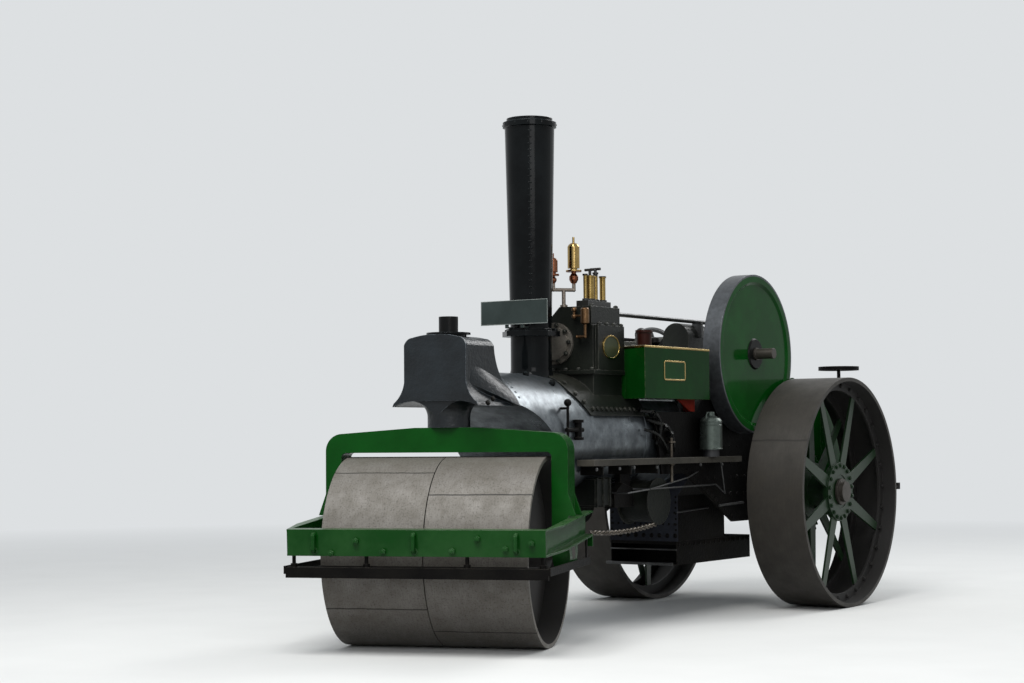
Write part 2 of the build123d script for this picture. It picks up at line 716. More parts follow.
def whistles():
    """The large and the small whistle on one forked pipe."""
    low = BLOCK_TOP + 114
    small = (40, BLOCK_FRONT - 38)
    foot = (85, BLOCK_FRONT + 17)
    large = (130, BLOCK_FRONT + 72)
    shape = bar_z(BLOCK_TOP, low, foot[0], foot[1], 13)
    shape += bar_z(BLOCK_TOP, BLOCK_TOP + 14, foot[0], foot[1], 24)
    shape += bar((small[0], small[1], low), (large[0], large[1], low), 12)
    for place, r, tall, lift in ((small, 30, 165, 45), (large, 40, 265, 45)):
        shape += Pos(place[0], place[1], low) * Sphere(13)
        shape += bar_z(low, low + lift + 6, place[0], place[1], 12)
        shape += whistle(place[0], place[1], low + lift, r, tall)
    return shape


def lubricator():
    """The displacement lubricator on the block's front, its pipe, and the tap beside it."""
    x = BLOCK_LEFT - 34
    y = BLOCK_FRONT - 42
    z = BLOCK_TOP - 115
    low = z - 88
    shape = turned_z([(0, z - 8), (14, z - 8), (28, z), (28, z + 92), (20, z + 100), (0, z + 100)], x, y)
    shape += bar_z(low, z, x, y, 10)
    shape += Pos(x, y, low) * Sphere(11)
    shape += bar_x(x - 62, x, y, low, 9)
    shape += Pos(x - 62, y, low) * Sphere(11)
    shape += bar_y(y, BLOCK_FRONT, x - 62, low, 9)
    shape += bar_y(y, BLOCK_FRONT, x, z + 50, 10)
    tap = BLOCK_FRONT - 30
    shape += bar_z(z + 47, z + 92, x - 90, tap, 8) + bar_x(x - 90, x, tap, z + 50, 8)
    for dz in (47, 92):
        shape += Pos(x - 90, tap, z + dz) * Sphere(17)
    return shape


# Motion


def guides():
    """The crosshead's guide bars, from the cylinder's back cover to their bracket."""
    z = CRANK_Z
    shape = bar_y(BLOCK_BACK, BLOCK_BACK + 60, 0, z, 90)
    gland = bar_y(BLOCK_BACK + 60, BLOCK_BACK + 110, 0, z, 44)
    shape += gland - bar_y(BLOCK_BACK, BLOCK_BACK + 120, 0, z, ROD_R)
    for x in (-GUIDE_HALF, GUIDE_HALF):
        for z0 in (z - 70, z + 48):
            shape += block(x - 24, x + 24, BLOCK_BACK + 50, GUIDE_BACK, z0, z0 + 22)
        shape += block(x - 21, x + 21, GUIDE_BACK - 30, GUIDE_BACK, z - 70, z + 70)
        shape += block(x - 21, x + 21, SADDLE_BACK - 60, SADDLE_BACK - 20, BLOCK_FOOT, z - 48)
    return shape


def connecting_rod():
    """Piston rod, crosshead and the visible length of the connecting rod."""
    z = CRANK_Z
    y0 = BLOCK_BACK + CROSSHEAD_AT
    shape = bar_y(BLOCK_BACK + 60, y0, 0, z, ROD_R)
    shape += block(-86, 86, y0, y0 + 140, z - 48, z + 48)
    front = Plane(origin=(0, y0 + 140, z), z_dir=(0, 1, 0)) * Rectangle(36, 60)
    back = Plane(origin=(0, CRANK_Y - GUARD_AHEAD - 1, z), z_dir=(0, 1, 0)) * Rectangle(44, 90)
    return shape + loft([front, back])


def valve_rods():
    """The two eccentric rods and the valve rod on the right of the guide bars."""
    x = VALVE_ROD_X
    y0 = BLOCK_BACK + 290
    y1 = CRANK_Y - ECCENTRIC_R + 8
    shape = bar_y(BLOCK_BACK, y0, x, CRANK_Z, 15)
    shape += block(x - 16, x + 16, y0, y0 + 60, CRANK_Z - 153, CRANK_Z + 153)
    for dz in (-118, 118):
        shape += bar((x, y0 + 60, CRANK_Z + dz), (x, y1, CRANK_Z), 13)
    shape -= bar_x(x - 20, x + 20, CRANK_Y, CRANK_Z, ECCENTRIC_R - 1)
    return shape + ring_x(x - 13, -GUARD_HALF, CRANK_Y, CRANK_Z, ECCENTRIC_R, CRANK_R + 6)


def control_rods():
    """The regulator's rod and tube above the motion, held by a stay on the guard."""
    z = BLOCK_TOP - 16
    shape = None
    for x in (70, 118):
        rod = bar_y(BLOCK_BACK, HORN_BACK - 350, x, z, 12)
        shape = rod if shape is None else shape + rod
    stay = block(55, 133, CRANK_Y - 12, CRANK_Y + 12, CRANK_Z + GUARD_UP - GUARD_HALF, z)
    return shape + (stay - crank_guard())


def crank_guard():
    """The round-topped hood that closes in the crank between the hornplates."""
    y0 = CRANK_Y - GUARD_AHEAD
    y1 = CRANK_Y + GUARD_BEHIND
    spring = CRANK_Z + GUARD_UP - GUARD_HALF
    low = BOILER_Z + FIREBOX_HALF + 20
    hood = block(-GUARD_HALF, GUARD_HALF, y0, y1, low, spring)
    hood += bar_y(y0, y1, 0, spring, GUARD_HALF)
    feet = block(-GUARD_HALF, GUARD_HALF, CRANK_Y - 200, FIREBOX_BACK - 40, BOILER_Z, low)
    feet -= bar_y(FIREBOX_FRONT, FIREBOX_BACK, 0, BOILER_Z, FIREBOX_HALF + SEAT)
    return hood + feet - bar_x(-GUARD_HALF - 1, GUARD_HALF + 1, CRANK_Y, CRANK_Z, CRANK_R + 6)


def gear_case():
    """The sheet cover over the crank pinion and the second shaft."""
    x0 = -FIREBOX_HALF
    x1 = -GUARD_HALF - 60
    y = CRANK_Y + SECOND_SHAFT_BACK
    z = CRANK_Z - SECOND_SHAFT_DROP
    shape = bar_x(x0, x1, CRANK_Y, CRANK_Z, 150)
    shape += bar_x(x0, x1, y, z, 260)
    shape += plate_x([(CRANK_Y - 40, CRANK_Z + 144), (CRANK_Y + 40, CRANK_Z - 144),
                      (y - 160, z - 200), (y + 150, z + 210)], x0, x1)
    return shape - bar_x(x0 - 1, x1 + 1, CRANK_Y, CRANK_Z, CRANK_R + 6)


def crank_bearing():
    """The crankshaft's left bearing, inside the hornplate; the right one is in the gear case."""
    x0 = FIREBOX_HALF - 70
    x1 = FIREBOX_HALF
    shape = block(x0, x1, CRANK_Y - 95, CRANK_Y + 95, CRANK_Z - 90, CRANK_Z + 60)
    shape += bar_x(x0, x1, CRANK_Y, CRANK_Z + 30, 85)
    return shape - bar_x(x0 - 1, x1 + 1, CRANK_Y, CRANK_Z, CRANK_R + RUNNING_FIT)


def crankshaft():
    """The crankshaft, from the right hornplate to the bright stub beyond the flywheel."""
    shaft = bar_x(-HORN_OUT - 24, FLYWHEEL_OUT + 10, CRANK_Y, CRANK_Z, CRANK_R)
    return shaft + bar_x(FLYWHEEL_OUT, FLYWHEEL_OUT + CRANK_STUB, CRANK_Y, CRANK_Z, CRANK_STUB_R)


def flywheel():
    """The solid disc flywheel: flat rim, dished disc and round boss."""
    r = FLYWHEEL_DIA / 2
    x0 = FLYWHEEL_IN
    x1 = FLYWHEEL_OUT
    disc = x1 - FLYWHEEL_DISH
    rim = r - FLYWHEEL_RIM
    profile = [(x0, r), (x1, r), (x1, rim), (disc, rim - 20), (disc, FLYWHEEL_HUB_R),
               (x1 - 2, FLYWHEEL_HUB_R - 8),
               (x1 - 2, CRANK_R), (x0 + 10, CRANK_R), (x0 + 10, FLYWHEEL_HUB_R),
               (disc - FLYWHEEL_WEB, FLYWHEEL_HUB_R), (disc - FLYWHEEL_WEB, rim), (x0, rim)]
    return turned_x(profile, CRANK_Y, CRANK_Z)


def tray_outline(inset):
    """The motion tray in plan, from its inner edge out, drawn in by the sheet's thickness."""
    out = TRAY_OUT - inset
    front = TRAY_FRONT + inset
    back = TRAY_BACK - inset
    corner = BLOCK_BACK + SEAT + inset
    inner = BLOCK_LEFT + FOOT_FLANGE + SEAT
    points = ((TRAY_IN, corner), (inner, corner), (out, front), (out, back), (TRAY_IN, back))
    return make_face(Polyline(*points, close=True))


def motion_tray():
    """The sheet tray beside the motion, its front side set at an angle, on its red bracket."""
    outer = extrude(Pos(0, 0, TRAY_BOTTOM) * tray_outline(0), TRAY_TOP - TRAY_BOTTOM)
    inner = extrude(Pos(0, 0, TRAY_BOTTOM + SHEET) * tray_outline(SHEET), TRAY_TOP - TRAY_BOTTOM)
    inner += block(0, TRAY_IN + SHEET, BLOCK_BACK + SHEET + 1, TRAY_BACK - SHEET, TRAY_BOTTOM + SHEET,
                   TRAY_TOP)
    bracket = plate_x([(TRAY_BACK - 240, TRAY_BOTTOM + 1), (TRAY_BACK, TRAY_BOTTOM + 1),
                       (TRAY_BACK, TRAY_BOTTOM - 80), (TRAY_BACK - 60, TRAY_BOTTOM - 80)],
                      TRAY_OUT - 130, TRAY_OUT - 118)
    bracket += block(FIREBOX_HALF - 60, TRAY_OUT - 118, TRAY_BACK - 12, TRAY_BACK, TRAY_BOTTOM - 80,
                     TRAY_BOTTOM)
    shape = outer - inner + bracket
    shape -= bar_y(BLOCK_BACK, FIREBOX_FRONT, 0, BOILER_Z, BARREL_R + SEAT)
    shape -= bar_y(BLOCK_BACK - 300, SADDLE_BACK + SEAT, 0, BOILER_Z, SMOKEBOX_R + SADDLE_T + SEAT)
    shape -= bar_y(FIREBOX_FRONT, FIREBOX_BACK, 0, BOILER_Z, FIREBOX_HALF + SEAT)
    return shape - hornplates()


# Frame plates, boards and boxes


def hornplates():
    """The boiler's side plates, carried up to the crank and back past the axle."""
    foot = REAR_R - HORN_BOTTOM_UNDER_AXLE
    nose = FIREBOX_FRONT - HORN_NOSE
    side = BOILER_Z - HORN_SIDE_DROP
    outline = [
        (nose + 120, side), (nose + 90, side + 130), (nose + 60, side + 280), (nose, side + 420),
        (FIREBOX_FRONT, side + 420), (CRANK_Y - 330, CRANK_Z - 143), (CRANK_Y - 230, HORN_TOP),
        (CRANK_Y + 260, HORN_TOP), (HORN_BACK - 60, REAR_R + 662), (HORN_BACK, REAR_R + 562),
        (HORN_BACK, REAR_R - 138), (WHEELBASE - 150, foot), (FIREBOX_FRONT + 550, foot),
        (FIREBOX_FRONT - 150, side),
    ]
    shape = None
    for x0, x1 in both_sides(FIREBOX_HALF, HORN_OUT):
        plate = plate_x(outline, x0, x1)
        plate -= bar_x(x0 - 1, x1 + 1, CRANK_Y, CRANK_Z, CRANK_R + 6)
        plate -= bar_x(x0 - 1, x1 + 1, WHEELBASE, REAR_R, REAR_AXLE_R + SEAT)
        shape = plate if shape is None else shape + plate
    for x0, x1 in both_sides(BARREL_R - 60, FIREBOX_HALF):
        shape += block(x0, x1, nose + 60, nose + 76, BOILER_Z - 30, BOILER_Z + 30)
    return shape - bar_y(nose, FIREBOX_FRONT, 0, BOILER_Z, BARREL_R + SEAT)


def running_boards():
    """The planks beside the boiler, on their angle brackets."""
    z0 = BOARD_TOP - BOARD_T
    nose = FIREBOX_FRONT - HORN_NOSE
    shape = None
    for side in (-1, 1):
        x0, x1 = sorted((side * BOARD_IN, side * BOARD_OUT))
        board = block(x0, x1, BOARD_FRONT, nose + 60, z0, BOARD_TOP)
        x0, x1 = sorted((side * (HORN_OUT + SEAT), side * BOARD_OUT))
        board += block(x0, x1, nose + 60, BOARD_BACK, z0, BOARD_TOP)
        for y in (BOARD_FRONT + 130, BOARD_FRONT + 480, BOARD_FRONT + 830):
            x0, x1 = sorted((side * (BARREL_R - 50), side * (BOARD_OUT - 12)))
            if y > nose + 60:
                x0, x1 = sorted((side * (HORN_OUT + SEAT), side * (BOARD_OUT - 12)))
            board += block(x0, x1, y - 30, y + 30, z0 - 8, z0)
            board += block(x0, x1, y - 5, y + 5, z0 - 60, z0)
        board -= bar_y(0, SMOKEBOX_BACK, 0, BOILER_Z, SMOKEBOX_R + SEAT)
        board -= bar_y(SMOKEBOX_BACK, FIREBOX_FRONT, 0, BOILER_Z, BARREL_R + SEAT)
        shape = board if shape is None else shape + board
    return shape - hornplates()


def belly_tank():
    """The ribbed box hung under the barrel's front, with its straps."""
    top = BOILER_Z - BARREL_R + BOX_UP
    y0 = SMOKEBOX_BACK + 90
    box = block(-BOX_X - BOX_W, BOX_X + BOX_W, y0, y0 + BOX_L, top - BOX_H, top)
    for y in (y0 + 20, y0 + BOX_L / 2, y0 + BOX_L - 20):
        box += block(-BOX_X - BOX_W - 10, BOX_X + BOX_W + 10, y - 8, y + 8, top - BOX_H - 10, top + 10)
    return box - bar_y(0, FIREBOX_FRONT, 0, BOILER_Z, BARREL_R + SEAT)


def feed_pump():
    """The feed pump on the left, with its sloping top, its valve and its pipe."""
    y0 = SMOKEBOX_BACK + 330
    z0 = BOILER_Z - BARREL_R - 95
    x0 = BOX_X + 20
    x1 = x0 + PUMP_L
    shape = plate_x([(y0, z0), (y0 + 250, z0), (y0 + 250, z0 + 120), (y0 + 110, z0 + 160),
                     (y0, z0 + 90)], x0, x1)
    shape += block(x0 + 20, x1 - 20, y0 + 110, y0 + 240, z0, BOILER_Z)
    shape += bar_y(y0 - 24, y0, (x0 + x1) / 2, z0 + 40, 30)
    shape += bar_y(y0 + 250, DRUM_Y - DRUM_FLANGE_R - 30, (x0 + x1) / 2, z0 + 60, PULL_ROD_R + 8)
    return shape - bar_y(0, FIREBOX_FRONT, 0, BOILER_Z, BARREL_R + SEAT)


def chain_barrel():
    """The cross shaft with the two steering-chain drums, its hangers and its worm box."""
    shaft = bar_x(-SHAFT_END, DRUM_OUT + DRUM_FLANGE_T, DRUM_Y, DRUM_Z, DRUM_SHAFT_R)
    for x0, x1 in both_sides(DRUM_IN, DRUM_OUT):
        shaft += bar_x(x0, x1, DRUM_Y, DRUM_Z, DRUM_R)
    for x0, x1 in both_sides(DRUM_OUT, DRUM_OUT + DRUM_FLANGE_T):
        shaft += bar_x(x0, x1, DRUM_Y, DRUM_Z, DRUM_FLANGE_R)
    for x0, x1 in both_sides(DRUM_IN - DRUM_FLANGE_T, DRUM_IN):
        shaft += bar_x(x0, x1, DRUM_Y, DRUM_Z, DRUM_FLANGE_R)
    for x0, x1 in both_sides(DRUM_IN - 50, DRUM_IN - 20):
        shaft += block(x0, x1, DRUM_Y - 60, DRUM_Y + 60, DRUM_Z - 50, BOILER_Z)
    shaft -= bar_y(0, FIREBOX_FRONT, 0, BOILER_Z, BARREL_R + SEAT)
    return shaft + worm_box()


def worm_box():
    """The worm's housing on the right end of the drums' shaft."""
    return block(-SHAFT_END, -SHAFT_END + WORM_BOX, DRUM_Y - 90, DRUM_Y + 150, DRUM_Z - 120, DRUM_Z + 110)


def steering_column():
    """The steering shaft up the right side, with its handwheel."""
    low = Vector(COLUMN_X, DRUM_Y + 60, DRUM_Z + 60)
    high = Vector(COLUMN_X, WHEELBASE - HANDWHEEL_AHEAD, FLOOR_TOP + HANDWHEEL_UP)
    line = high - low
    across = Plane(origin=high, z_dir=line)
    shape = bar(tuple(low), tuple(high), COLUMN_R) - worm_box()
    shape += across * (Cylinder(HANDWHEEL_R, 26) - Cylinder(HANDWHEEL_R - 26, 30))
    shape += across * Cylinder(34, 40)
    for turn in (0, 90):
        shape += across * Rot(0, 0, turn) * Box(2 * HANDWHEEL_R - 30, 18, 16)
    stay = low + line * 0.62
    return shape + block(COLUMN_X, -HORN_OUT, stay.Y - 18, stay.Y + 18, stay.Z - 30, stay.Z + 30)


def rear_axle():
    """The rear axle, through both hornplates, with its end collars."""
    half = REAR_OUTER - AXLE_END_INSET
    axle = bar_x(-half, half, WHEELBASE, REAR_R, REAR_AXLE_R)
    for x0, x1 in both_sides(HORN_OUT + SEAT, HORN_OUT + 18):
        axle += bar_x(x0, x1, WHEELBASE, REAR_R, REAR_AXLE_R + 40)
    for x0, x1 in both_sides(REAR_OUTER - HUB_INSET + 6, REAR_OUTER - HUB_INSET + 24):
        axle += bar_x(x0, x1, WHEELBASE, REAR_R, REAR_AXLE_R + 22)
    return axle


# Tender and footplate


def tender():
    """Water tank below and open coal bunker above, behind the footplate."""
    wall = TENDER_WALL
    body = block(-TENDER_HALF, TENDER_HALF, TENDER_FRONT, TENDER_BACK, TENDER_BOTTOM, TENDER_TOP)
    body -= block(-TENDER_HALF + wall, TENDER_HALF - wall, TENDER_FRONT + wall, TENDER_BACK - wall,
                  TANK_LID, TENDER_TOP + wall)
    return body - block(-200, 200, TENDER_FRONT - 5, TENDER_FRONT + wall + 5, TANK_LID, TANK_LID + 300)


def footplate():
    """Footplate floor with its two side sheets, each with a round-topped rise."""
    half = FIREBOX_HALF
    shape = block(-half, half, FIREBOX_BACK + SEAT, TENDER_FRONT, FLOOR_TOP - FLOOR_T, FLOOR_TOP)
    dome_y = HORN_BACK + TENDER_GAP / 2
    for x0, x1 in both_sides(half - SIDE_SHEET, half):
        shape += block(x0, x1, HORN_BACK - 20, TENDER_FRONT, FLOOR_TOP - 60, TENDER_TOP)
        shape += bar_x(x0, x1, dome_y, TENDER_TOP, SHEET_DOME_R)
    return shape


def brake_wheel():
    """The brake's column and handwheel at the tender's left rear."""
    x = BRAKE_X
    y = TENDER_BACK + BRAKE_COLUMN_R + 6
    shape = bar_z(TENDER_TOP - 420, BRAKE_WHEEL_Z, x, y, BRAKE_COLUMN_R)
    for z in (TENDER_TOP - 380, TENDER_TOP - 40):
        shape += block(x - 20, x + 20, TENDER_BACK, y + 10, z - 14, z + 14)
    rim = Cylinder(BRAKE_WHEEL_R, 30) - Cylinder(BRAKE_WHEEL_R - 26, 40)
    shape += Pos(x, y, BRAKE_WHEEL_Z) * (rim + Cylinder(30, 26))
    for turn in (0, 60, 120):
        shape += Pos(x, y, BRAKE_WHEEL_Z) * Rot(0, 0, turn) * Box(2 * BRAKE_WHEEL_R - 30, 16, 14)
    return shape


def reversing_lever():
    """The reversing lever and its quadrant on the left hornplate."""
    x = FIREBOX_HALF - 64
    y = CRANK_Y + 315
    z = FLOOR_TOP + 580
    shape = plate_x([(y, z), (y, z + 60), (y + 230, z + 60), (y + 230, z)], x - 6, x + 6)
    shape += bar((x, y + 110, z - 360), (x, y + 150, z + 270), 11)
    shape += block(x - 6, FIREBOX_HALF, y, y + 30, z, z + 40)
    return shape + block(x - 6, FIREBOX_HALF, y + 95, y + 125, z - 370, z - 340)


def drawbar():
    """The drawbar's jaw behind the tender, with a pin hole."""
    z = TENDER_BOTTOM + 60
    half = DRAWBAR_H / 2
    shape = block(-60, 60, TENDER_BACK, TENDER_BACK + DRAWBAR_L, z - half, z + half)
    shape -= block(-100, 100, TENDER_BACK + 30, TENDER_BACK + DRAWBAR_L + 10, z - DRAWBAR_SLOT / 2,
                   z + DRAWBAR_SLOT / 2)
    return shape - bar_z(z - half - 5, z + half + 5, 0, TENDER_BACK + 90, DRAWBAR_PIN_R)


def rear_scrapers():
    """The scraper bars behind the rear rolls, on arms from the tender."""
    y = WHEELBASE + REAR_R
    z = REAR_R + 20
    shape = None
    for x0, x1 in both_sides(TENDER_HALF, REAR_OUTER - 20):
        bar_piece = block(x0, x1, y + 70, y + 120, z - 25, z + 25)
        shape = bar_piece if shape is None else shape + bar_piece
    for x0, x1 in both_sides(REAR_INNER + 10, REAR_OUTER - 20):
        shape += block(x0, x1, y + 6, y + 70, z - 10, z + 2)
    return shape


def oil_can():
    """The galvanised oil can that stands on the left board: stand, body, shoulder and screw cap."""
    z = BOARD_TOP + SEAT
    body = z + CAN_STAND
    top = body + CAN_H
    profile = [(0, z), (CAN_R - 22, z), (CAN_R - 22, body), (CAN_R, body), (CAN_R, top),
               (CAN_R - 14, top + 18),
               (30, top + 36), (30, top + 62), (0, top + 62)]
    return turned_z(profile, CAN_X, CAN_Y)


# Steered assembly, modelled straight ahead


def pitched(shape):
    """The same shape tipped up to the rear about the front bar's lower edge."""
    turned = Rot(FRAME_PITCH, 0, 0) * Pos(0, -FRAME_FRONT, -FRAME_BOTTOM) * shape
    return Pos(0, FRAME_FRONT, FRAME_BOTTOM) * turned


def frame_bottom_at(y):
    """The height of the pitched frame's underside at a place along it."""
    return FRAME_BOTTOM + (y - FRAME_FRONT) * tan(radians(FRAME_PITCH))


def frame_top_at(y):
    """The height of the pitched frame's top at a place along it."""
    return frame_bottom_at(y) + FRAME_DEPTH / cos(radians(FRAME_PITCH))


def fork():
    """The fork: a beam over the rolls, two legs with their ribs, and the kingpin."""
    half = FORK_OUT
    inside = half - FORK_LEG
    top = FORK_TOP - FORK_CORNER_DROP
    under = FORK_TOP - FORK_BEAM
    arc = FORK_CORNER_R * (1 - cos(pi / 4))
    inner = FORK_INNER_R * (1 - cos(pi / 4))
    with BuildSketch(Plane.XZ) as sketch:
        with BuildLine():
            Polyline((0, FORK_TOP), (NECK_R + 60, FORK_TOP), (half - FORK_CORNER_R, top))
            ThreePointArc((half - FORK_CORNER_R, top), (half - arc, top - arc), (half, top - FORK_CORNER_R))
            Polyline((half, top - FORK_CORNER_R), (half, FRONT_R), (inside, FRONT_R),
                     (inside, under - FORK_INNER_R))
            ThreePointArc((inside, under - FORK_INNER_R), (inside - inner, under - inner),
                          (inside - FORK_INNER_R, under))
            Line((inside - FORK_INNER_R, under), (0, under))
            mirror(about=Plane.YZ)
        make_face()
    shape = extrude(sketch.sketch, FORK_HALF_DEPTH, both=True)
    foot = frame_top_at(FORK_HALF_DEPTH) + SEAT
    for side in (-1, 1):
        x0, x1 = sorted((side * inside, side * half))
        shape += bar_x(x0, x1, 0, FRONT_R, FORK_FOOT_R)
        rib = [(side * half, foot), (side * (half + GUSSET_W), foot), (side * half, foot + GUSSET_H)]
        for y in (-FORK_HALF_DEPTH, FORK_HALF_DEPTH - 16):
            shape += plate_y(rib, y, y + 16)
    shape += bar_z(FORK_TOP - 20, HEAD_TOP + 10, 0, 0, KINGPIN_R)
    shape += bar_z(HEAD_TOP, CAP_TOP + KINGPIN_BOSS, 0, 0, KINGPIN_BOSS_R)
    return shape - bar_x(-half - 1, half + 1, 0, FRONT_R, FRONT_AXLE_R + SEAT)


def channel_frame():
    """The level channel frame: front bar, two side channels and their rear ends."""
    t = FRAME_PLATE
    web = FORK_OUT
    out = FORK_OUT + FRAME_FLANGE
    shape = block(-web, web, FRAME_FRONT, FRAME_FRONT + t, FRAME_BOTTOM, FRAME_TOP)
    for z in (FRAME_BOTTOM, FRAME_TOP - t):
        shape += block(-web, web, FRAME_FRONT, FRAME_FRONT + FRAME_FLANGE + t, z, z + t)
    for side in (-1, 1):
        x0, x1 = sorted((side * web, side * (web + t)))
        shape += block(x0, x1, FRAME_FRONT, FRAME_TAIL, FRAME_BOTTOM, FRAME_TOP)
        for z in (FRAME_BOTTOM, FRAME_TOP - t):
            near = (side * web, FRAME_FRONT)
            points = [near, (side * (web + FRAME_NOSE), FRAME_FRONT),
                      (side * out, FRAME_FRONT + FRAME_NOSE_LENGTH),
                      (side * out, FRAME_TAIL), (side * web, FRAME_TAIL)]
            shape += extrude(Pos(0, 0, z) * make_face(Polyline(*points, close=True)), t)
    return shape


def staples():
    """The three round-bar staples on the front bar."""
    shape = None
    for x in (-STAPLE_PITCH, 0, STAPLE_PITCH):
        y = FRAME_FRONT - STAPLE_R * 0.7
        z = FRAME_TOP - 30
        hook = bar_z(z - 2 * STAPLE_R, z, x, y, STAPLE_BAR_R)
        for end in (z - 2 * STAPLE_R, z):
            hook += bar_y(y, FRAME_FRONT, x, end, STAPLE_BAR_R)
            hook += Pos(x, y, end) * Sphere(STAPLE_BAR_R)
            hook += bar_y(FRAME_FRONT - 6, FRAME_FRONT, x, end, STAPLE_BAR_R + 9)
        shape = hook if shape is None else shape + hook
    return shape


def front_frame():
    """The channel frame round the rolls, with its axle plates, chain lugs and staples."""
    web = FORK_OUT
    out = FORK_OUT + FRAME_FLANGE
    shape = pitched(channel_frame()) + staples()
    hanger = None
    for x0, x1 in both_sides(web, web + FRAME_PLATE):
        plate = plate_x([(-170, FRAME_TOP - 20), (170, FRAME_TOP), (90, FRONT_R - 60),
                         (-90, FRONT_R - 60)], x0, x1)
        plate += bar_x(x0, x1, 0, FRONT_R, FORK_FOOT_R)
        hanger = plate if hanger is None else hanger + plate
    for x0, x1 in both_sides(web + FRAME_PLATE, out):
        y, z = chain_end()
        hanger += block(x0, x1, y - 16, y, z - 24, frame_bottom_at(y) + 4)
    return shape + hanger - bar_x(-out - 1, out + 1, 0, FRONT_R, FRONT_AXLE_R + 1)


def chain_end():
    """Where a steering chain meets the frame: (y, z) of the lug under the rear end of a side channel."""
    return FRAME_TAIL - 8, frame_bottom_at(FRAME_TAIL) - 40


def scraper_frame():
    """The scraper under the front bar: a flat shelf, a blade, side bars and their bolts."""
    top = FRAME_BOTTOM - SCRAPER_DROP
    z0 = top - SCRAPER_BLADE
    half = FORK_OUT + SCRAPER_OUT
    front = FRAME_FRONT + 6
    reach = sqrt(FRONT_R ** 2 - (FRONT_R - top) ** 2)
    roll_half = FRONT_HALF_WIDTH + FRONT_HALF_GAP / 2
    shape = block(-half, half, front, front + 84, top - SCRAPER_PLATE, top)
    shape += block(-half, half, front, front + SCRAPER_PLATE, z0, top)
    shape += block(-roll_half, roll_half, front + 84, -reach - SCRAPER_CLEAR, top - SCRAPER_PLATE, top)
    for x0, x1 in both_sides(half, half + SCRAPER_PLATE):
        shape += block(x0, x1, front, FRAME_TAIL + 30, top - 40, top + 6)
    for x in (-half + 40, -STAPLE_PITCH / 2, STAPLE_PITCH / 2, half - 40):
        shape += bar_z(top, FRAME_BOTTOM, x, front + 34, 11)
        shape += bar_z(top, top + 20, x, front + 34, 20)
    for side in (-1, 1):
        x = side * (half + SCRAPER_PLATE / 2)
        y = FRAME_TAIL - 70
        shape += block(x - 5, x + 5, y - 12, y + 12, top, frame_bottom_at(y - 12))
    return shape


def front_axle():
    """The axle through both halves of the front roll and the fork's feet."""
    half = FORK_OUT + FRAME_PLATE
    return bar_x(-half, half, 0, FRONT_R, FRONT_AXLE_R)


def front_roll(side):
    """One half of the front roll: tread, two discs and hub."""
    inner = FRONT_HALF_GAP / 2
    outer = inner + FRONT_HALF_WIDTH
    tread = FRONT_R - FRONT_TREAD_PLATE
    web = 24
    bore = FRONT_AXLE_R + RUNNING_FIT
    profile = [(inner, FRONT_R), (outer, FRONT_R), (outer, tread), (outer - FRONT_DISC_INSET, tread),
               (outer - FRONT_DISC_INSET, FRONT_HUB_R), (outer - 6, FRONT_HUB_R), (outer - 6, bore),
               (inner, bore), (inner, FRONT_HUB_R), (inner + 60, FRONT_HUB_R), (inner + 60, tread),
               (inner, tread)]
    hollow = [(inner + 60 + web, FRONT_HUB_R), (inner + 60 + web, tread),
              (outer - FRONT_DISC_INSET - web, tread), (outer - FRONT_DISC_INSET - web, FRONT_HUB_R)]
    roll = turned_x(profile, 0, FRONT_R) - turned_x(hollow, 0, FRONT_R)
    if side > 0:
        return roll
    return Rot(0, 0, 180) * roll


def steering_chain(side):
    """A steering chain from the frame's channel back under the drum, sagging, as the machine is parked."""
    reach = FORK_OUT + FRAME_FLANGE - CHAIN_R
    y, z = chain_end()
    turn = radians(STEER_ANGLE)
    front = (side * reach * cos(turn) - y * sin(turn), side * reach * sin(turn) + y * cos(turn), z)
    back = (side * (DRUM_OUT - CHAIN_R - 2), DRUM_Y, DRUM_Z - DRUM_R - CHAIN_R + 2)
    middle = tuple((a + b) / 2 for a, b in zip(front, back))
    path = ThreePointArc(front, (middle[0], middle[1], middle[2] - CHAIN_SAG), back)
    section = Plane(origin=path @ 0, z_dir=path % 0) * Circle(CHAIN_R)
    chain = sweep(section, path)
    return chain - Rot(0, 0, STEER_ANGLE) * front_frame() - chain_barrel()


# Rear rolls


